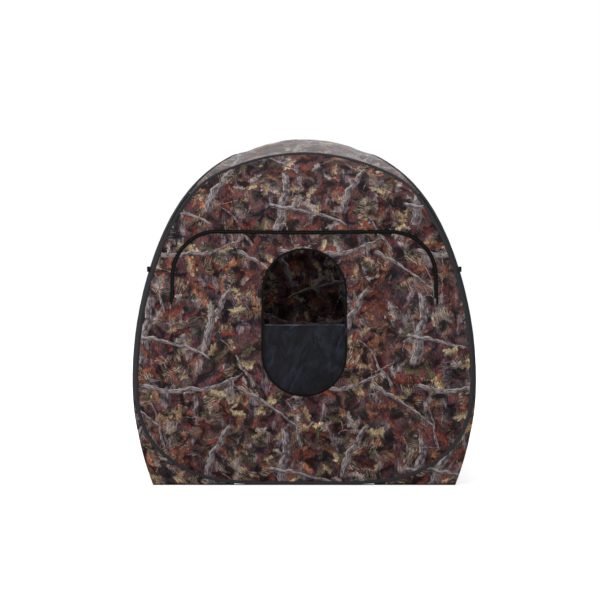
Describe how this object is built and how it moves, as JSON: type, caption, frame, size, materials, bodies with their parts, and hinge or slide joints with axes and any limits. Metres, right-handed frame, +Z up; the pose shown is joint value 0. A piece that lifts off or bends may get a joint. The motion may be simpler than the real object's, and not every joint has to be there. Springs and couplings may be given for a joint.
{
  "type": "pop up ground blind",
  "caption": "Square domed fabric hide on four sprung steel hoops, with a zipped drop front flap, covered windows, a zipped back door and corner stake tabs.",
  "frame": {"origin": "centre of the square footprint, on the ground", "axes": "+Z up, -Y out of the front wall with the drop flap, X across the front"},
  "size_m": [1.5994, 1.5994, 1.66],
  "materials": {
    "printed_cloth": null,
    "black_binding": "folded woven binding tape",
    "zip_tape": "woven tape with moulded teeth",
    "coated_cover": "black coated polyester, slight sheen",
    "webbing": "ribbed webbing",
    "spring_steel": "oil blued spring wire",
    "ferrule_steel": "zinc plated, crimped",
    "zip_metal": "black enamelled",
    "grommet_brass": "rolled brass, lightly tarnished"
  },
  "bodies": {
    "shell": {"hoop_front": "spring_steel", "hoop_right": "spring_steel", "hoop_back": "spring_steel", "hoop_left": "spring_steel", "hoop_ferrules": "ferrule_steel", "binding_front": "black_binding", "binding_right": "black_binding", "binding_back": "black_binding", "binding_left": "black_binding", "front_wall": "printed_cloth", "right_wall": "printed_cloth", "back_wall": "printed_cloth", "left_wall": "printed_cloth", "roof": "printed_cloth", "corner_gusset_front_right": "printed_cloth", "corner_gusset_back_right": "printed_cloth", "corner_gusset_back_left": "printed_cloth", "corner_gusset_front_left": "printed_cloth", "hem_front": "black_binding", "hem_right": "black_binding", "hem_back": "black_binding", "hem_left": "black_binding", "front_flap_zip_wall_tape": "zip_tape", "front_window_tape_low": "zip_tape", "front_cover_low": "coated_cover", "front_cover_ties": "webbing", "right_window_tape": "zip_tape", "right_cover_low": "coated_cover", "left_window_tape": "zip_tape", "left_cover_low": "coated_cover", "back_door_zip_wall_tape": "zip_tape", "tie_out_loops": "webbing", "stake_tabs": "webbing", "stake_grommets": "grommet_brass"},
    "front_flap": {"front_flap": "printed_cloth", "front_flap_zip_flap_tape": "zip_tape", "front_window_tape_high": "zip_tape"},
    "back_door": {"back_door": "printed_cloth", "back_door_zip_door_tape": "zip_tape"},
    "front_cover": {"front_cover_high": "coated_cover"},
    "right_cover": {"right_cover_high": "coated_cover"},
    "left_cover": {"left_cover_high": "coated_cover"},
    "front_flap_slider": {"front_flap_slider": "zip_metal"},
    "front_flap_pull": {"front_flap_pull": "zip_metal"},
    "front_cover_slider": {"front_cover_slider": "zip_metal"},
    "front_cover_pull": {"front_cover_pull": "zip_metal"},
    "right_cover_slider": {"right_cover_slider": "zip_metal"},
    "right_cover_pull": {"right_cover_pull": "zip_metal"},
    "left_cover_slider": {"left_cover_slider": "zip_metal"},
    "left_cover_pull": {"left_cover_pull": "zip_metal"},
    "back_door_slider": {"back_door_slider": "zip_metal"},
    "back_door_pull": {"back_door_pull": "zip_metal"}
  },
  "joints": [
    {"name": "front_flap_fold", "type": "hinge", "parent": "shell", "child": "front_flap", "pos_m": [0, -0.75526, 0.885], "axis": [1, 0, 0], "range_deg": [0, 135]},
    {"name": "back_door_fold", "type": "hinge", "parent": "shell", "child": "back_door", "pos_m": [0, 0.75023, 0.13], "axis": [-1, 0, 0], "range_deg": [0, 86]},
    {"name": "front_cover_fold", "type": "hinge", "parent": "shell", "child": "front_cover", "pos_m": [0, -0.77147, 0.766], "axis": [1, 0, 0], "range_deg": [0, 165]},
    {"name": "right_cover_fold", "type": "hinge", "parent": "shell", "child": "right_cover", "pos_m": [0.77147, 0, 0.766], "axis": [0, -1, 0], "range_deg": [0, 165]},
    {"name": "left_cover_fold", "type": "hinge", "parent": "shell", "child": "left_cover", "pos_m": [-0.77147, 0, 0.766], "axis": [0, 1, 0], "range_deg": [0, 165]},
    {"name": "front_flap_slide", "type": "slide", "parent": "shell", "child": "front_flap_slider", "axis": [0, 0.1997, 0.9799], "range_m": [0, 0.1]},
    {"name": "front_flap_pull_swing", "type": "hinge", "parent": "front_flap_slider", "child": "front_flap_pull", "pos_m": [0.615, -0.76487, 0.87202], "axis": [-1, 0, 0], "range_deg": [0, 110]},
    {"name": "front_cover_slide", "type": "slide", "parent": "shell", "child": "front_cover_slider", "axis": [0, -0.1329, -0.9911], "range_m": [0, 0.1]},
    {"name": "front_cover_pull_swing", "type": "hinge", "parent": "front_cover_slider", "child": "front_cover_pull", "pos_m": [0.1945, -0.78627, 0.74568], "axis": [-1, 0, 0], "range_deg": [0, 110]},
    {"name": "right_cover_slide", "type": "slide", "parent": "shell", "child": "right_cover_slider", "axis": [0.1329, 0, -0.9911], "range_m": [0, 0.1]},
    {"name": "right_cover_pull_swing", "type": "hinge", "parent": "right_cover_slider", "child": "right_cover_pull", "pos_m": [0.78627, 0.1945, 0.74568], "axis": [0, -1, 0], "range_deg": [0, 110]},
    {"name": "left_cover_slide", "type": "slide", "parent": "shell", "child": "left_cover_slider", "axis": [-0.1329, 0, -0.9911], "range_m": [0, 0.1]},
    {"name": "left_cover_pull_swing", "type": "hinge", "parent": "left_cover_slider", "child": "left_cover_pull", "pos_m": [-0.78627, -0.1945, 0.74568], "axis": [0, 1, 0], "range_deg": [0, 110]},
    {"name": "back_door_slide", "type": "slide", "parent": "shell", "child": "back_door_slider", "axis": [0, 0.2554, 0.9668], "range_m": [0, 0.1]},
    {"name": "back_door_pull_swing", "type": "hinge", "parent": "back_door_slider", "child": "back_door_pull", "pos_m": [-0.31, 0.75072, 0.10464], "axis": [1, 0, 0], "range_deg": [0, 110]}
  ]
}
